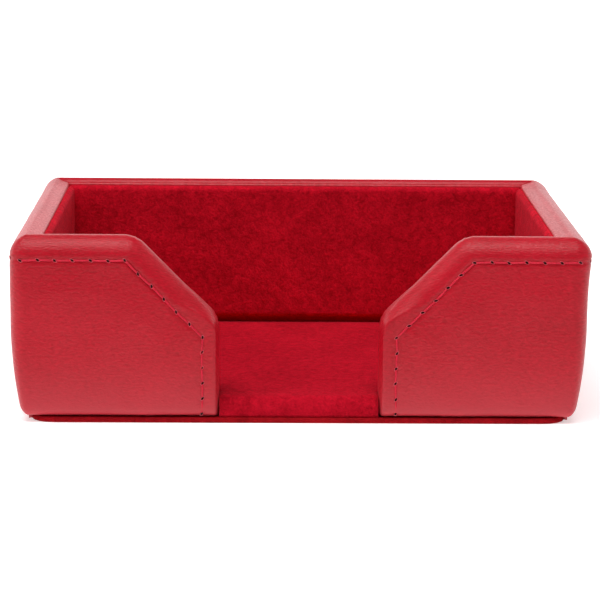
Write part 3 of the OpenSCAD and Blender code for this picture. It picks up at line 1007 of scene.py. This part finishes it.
# %% Dress the pieces and tie them to the frame
DRESS = [
    (leather, "leather", ["leather_wrap"]),
    (floor_suede, "floor_suede", ["floor_suede"]),
    (pad, "underside_suede", ["underside_suede"]),
    (grown["seam_thread"], "thread", ["needle_thread"]),
    (padding, "foam", ["foam_wrap"]),
] + [(panel, "lining_suede", [name + "_suede"]) for name, panel in linings.items()]
for piece, finish, replaced in DRESS:
    if finish != "thread":
        piece.data.materials.clear()
        piece.data.materials.append(FINISH[finish])
    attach(piece, "root")
    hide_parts(*replaced)
for name in ("needle_holes", "needle_hole_lips"):
    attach(grown[name], "root")
HIDDEN = {side + "_board": "board" for side in ("base", "left", "right", "back", "front_left",
                                                "front_right")}
HIDDEN.update({name + "_card": "card" for name in ("underside", *linings)})
HIDDEN["bobbin_thread"] = "thread"
for name, finish in HIDDEN.items():
    nodes[name].data.materials.clear()
    nodes[name].data.materials.append(FINISH[finish])
print("visible pieces:", [piece.name for piece, _, _ in DRESS], "hidden:", len(HIDDEN))

# %% [markdown]
# ## Camera and light
#
# A long lens from a little above keeps the tray's lines nearly parallel. The room is a white tent, bright
# behind the tray and dim in front. A wide soft panel hangs above, a little to the front, so that the padded
# rim shows one soft highlight, and a small panel at each side reaches the slopes. The table gives off a
# little light of its own, so that the contact shadow stays faint.

# %% Camera
CAMERA_AT = Vector((-7.22, -434.39, 111.71)) * MM
CAMERA_TURN = Euler([math.radians(angle) for angle in (77.60, -0.488, -0.933)])
LENS_MM, SENSOR_MM = 132.2, 36.0
lens = bpy.data.cameras.new("camera")
lens.lens, lens.sensor_width = LENS_MM, SENSOR_MM
lens.clip_start, lens.clip_end = 0.01, 20
camera = bpy.data.objects.new("camera", lens)
camera.location, camera.rotation_euler = CAMERA_AT, CAMERA_TURN
scene.collection.objects.link(camera)
scene.camera = camera
print("camera at", tuple(round(k, 3) for k in camera.location))

# %% The white table
TABLE_HALF = 3000.0
TABLE_GLOW, BACK_GLOW = 0.45, 0.95      # light given off under the tray, and far behind it
GLOW_FROM, GLOW_TO = 60.0, 500.0        # places on Y where the one turns into the other
GREY_FROM, GREY_TO = -200.0, -110.0     # the white sheet ends well in front, on a greyer table
GREY, WHITE = (0.38, 0.38, 0.38), (0.85, 0.85, 0.85)

table = mesh_object("table", [(-TABLE_HALF, -TABLE_HALF, 0), (TABLE_HALF, -TABLE_HALF, 0),
                              (TABLE_HALF, TABLE_HALF, 0), (-TABLE_HALF, TABLE_HALF, 0)], [(0, 1, 2, 3)])
white, white_tree, white_shader = new_finish("white_table", WHITE, 0.9)
white_shader.inputs["Emission Color"].default_value = (1, 1, 1, 1)
across = add(white_tree, "ShaderNodeSeparateXYZ",
             links=[(coordinates(white_tree, (1, 1, 1)), 0)]).outputs["Y"]


def smooth_step(tree, value, start, end, high):
    """Rises smoothly from 0 to high while value goes from start to end."""
    return add(tree, "ShaderNodeMapRange", interpolation_type="SMOOTHSTEP", links=[(value, "Value")],
               sets=[("From Min", start), ("From Max", end), ("To Min", 0.0), ("To Max", high)]).outputs[0]


near = smooth_step(white_tree, across, GREY_FROM, GREY_TO, 1.0)
glow = blend_numbers(white_tree, across, TABLE_GLOW, BACK_GLOW, GLOW_FROM, GLOW_TO)
white_tree.links.new(maths(white_tree, "MULTIPLY", near, glow), white_shader.inputs["Emission Strength"])
white_tree.links.new(blend_colors(white_tree, near, GREY, WHITE, 0.0, 1.0),
                     white_shader.inputs["Base Color"])
table.data.materials.append(white)
print("table:", 2 * TABLE_HALF, "mm wide")

# %% The room, brightest low down behind the tray
BACKDROP, ROOM = 1.45, 0.07
room = bpy.data.worlds.new("white_room")
room.use_nodes = True
sky = room.node_tree
heading = add(sky, "ShaderNodeSeparateXYZ",
              links=[(add(sky, "ShaderNodeTexCoord").outputs["Generated"], 0)]).outputs
behind = smooth_step(sky, heading["Y"], -0.3, 0.5, BACKDROP)
lowly = smooth_step(sky, heading["Z"], 0.64, 0.36, 1.0)
backdrop = maths(sky, "MULTIPLY_ADD", behind, lowly, ROOM)
sky.links.new(backdrop, sky.nodes["Background"].inputs["Strength"])
sky.nodes["Background"].inputs["Color"].default_value = (1, 1, 1, 1)
scene.world = room
print("room strength behind and in front:", BACKDROP + ROOM, ROOM)


# %% Soft panels
def soft_light(name, at_mm, aim_mm, width_mm, depth_mm, watts):
    light = bpy.data.lights.new(name, "AREA")
    light.shape, light.energy = "RECTANGLE", watts
    light.size, light.size_y = width_mm * MM, depth_mm * MM
    made = bpy.data.objects.new(name, light)
    start, aim = Vector(at_mm) * MM, Vector(aim_mm) * MM
    facing = (aim - start).to_track_quat("-Z", "Y").to_matrix().to_4x4()
    made.matrix_world = Matrix.Translation(start) @ facing
    scene.collection.objects.link(made)


soft_light("overhead", (-110, -240, 840), (0, 0, 20), 850, 380, 7.4)
soft_light("left side", (-700, -260, 490), (0, -30, 25), 300, 300, 1.1)
soft_light("right side", (700, -260, 490), (0, -30, 25), 300, 300, 0.5)
scene.view_settings.view_transform = "Standard"
